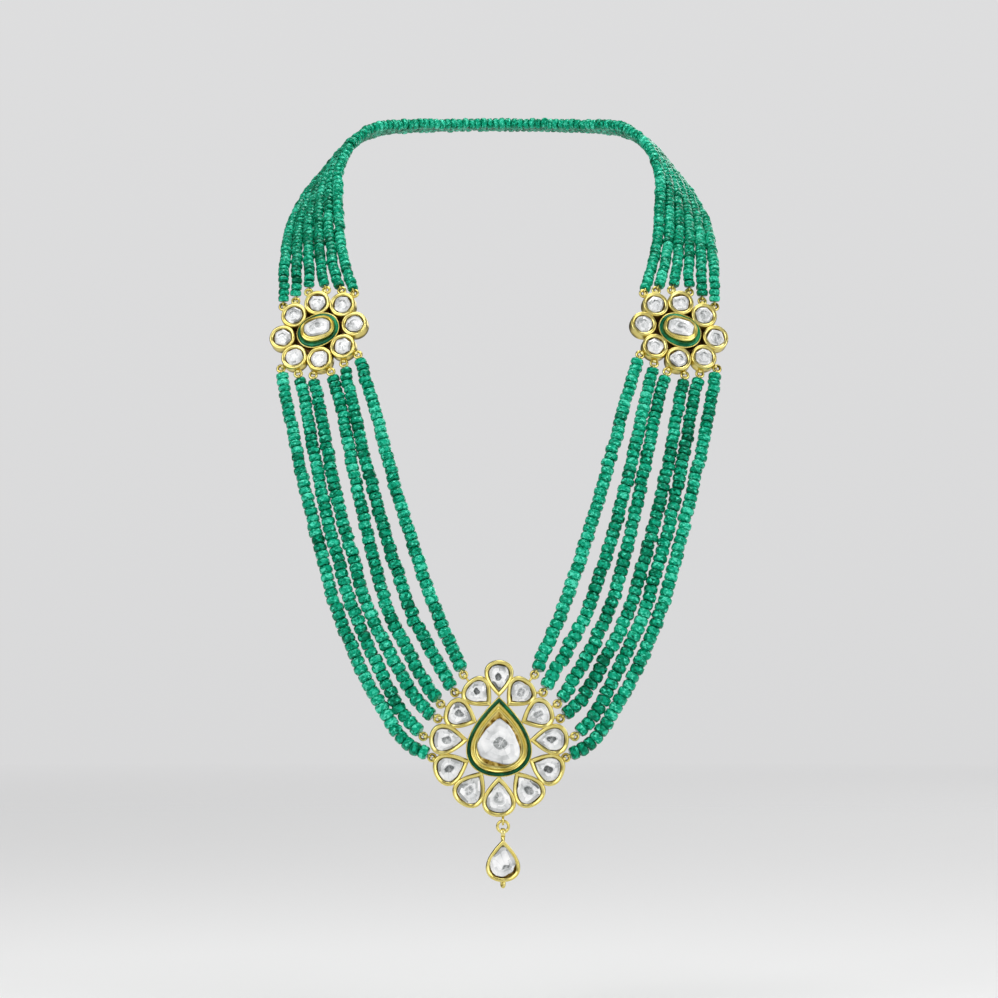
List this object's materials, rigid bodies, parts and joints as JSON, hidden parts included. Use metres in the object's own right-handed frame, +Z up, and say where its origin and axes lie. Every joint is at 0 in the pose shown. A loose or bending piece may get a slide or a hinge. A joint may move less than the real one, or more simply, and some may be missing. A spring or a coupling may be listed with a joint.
{
  "type": "multi-strand necklace",
  "caption": "Necklace of six strings of small green beads with two oval gold side medallions, a gold flower pendant set with flat-cut stones and a pear-shaped drop.",
  "frame": {"origin": "the middle of the neck, level with the highest strands as worn", "axes": "+Z up, -Y out of the front of the pendant, +X to the viewer's right"},
  "size_m": [0.1756, 0.1657, 0.2972],
  "materials": {
    "beads": "polished, faceted",
    "gold": "hand-burnished gold",
    "enamel": "gloss enamel",
    "stones": "polished, flat-cut"
  },
  "bodies": {
    "necklace": {"neck_strand_1": "beads", "neck_strand_2": "beads", "neck_strand_3": "beads", "neck_strand_4": "beads", "neck_strand_5": "beads", "neck_strand_6": "beads", "chest_strand_left_1": "beads", "chest_strand_left_2": "beads", "chest_strand_left_3": "beads", "chest_strand_left_4": "beads", "chest_strand_left_5": "beads", "chest_strand_left_6": "beads", "chest_strand_right_1": "beads", "chest_strand_right_2": "beads", "chest_strand_right_3": "beads", "chest_strand_right_4": "beads", "chest_strand_right_5": "beads", "chest_strand_right_6": "beads", "medallion_frame_left": "gold", "medallion_enamel_left": "enamel", "medallion_centre_stone_left": "stones", "medallion_frame_right": "gold", "medallion_enamel_right": "enamel", "medallion_centre_stone_right": "stones", "medallion_petal_stone_left_1": "stones", "medallion_petal_stone_left_2": "stones", "medallion_petal_stone_left_3": "stones", "medallion_petal_stone_left_4": "stones", "medallion_petal_stone_left_5": "stones", "medallion_petal_stone_left_6": "stones", "medallion_petal_stone_left_7": "stones", "medallion_petal_stone_left_8": "stones", "medallion_petal_stone_right_1": "stones", "medallion_petal_stone_right_2": "stones", "medallion_petal_stone_right_3": "stones", "medallion_petal_stone_right_4": "stones", "medallion_petal_stone_right_5": "stones", "medallion_petal_stone_right_6": "stones", "medallion_petal_stone_right_7": "stones", "medallion_petal_stone_right_8": "stones", "pendant_frame": "gold", "pendant_enamel": "enamel", "pendant_centre_stone": "stones", "pendant_petal_stone_1": "stones", "pendant_petal_stone_2": "stones", "pendant_petal_stone_3": "stones", "pendant_petal_stone_4": "stones", "pendant_petal_stone_5": "stones", "pendant_petal_stone_6": "stones", "pendant_petal_stone_7": "stones", "pendant_petal_stone_8": "stones", "pendant_petal_stone_9": "stones", "pendant_petal_stone_10": "stones", "pendant_petal_stone_11": "stones", "pendant_petal_stone_12": "stones"},
    "ring": {"jump_ring": "gold"},
    "drop": {"drop_frame": "gold", "drop_stone": "stones"}
  },
  "joints": [
    {"name": "ring_swing", "type": "hinge", "parent": "necklace", "child": "ring", "pos_m": [0.0015, -0.086, -0.27], "axis": [0, 1, 0], "range_deg": [-40, 40]},
    {"name": "drop_swing", "type": "hinge", "parent": "ring", "child": "drop", "pos_m": [0.0015, -0.086, -0.27295], "axis": [1, 0, 0], "range_deg": [-60, 60]}
  ]
}
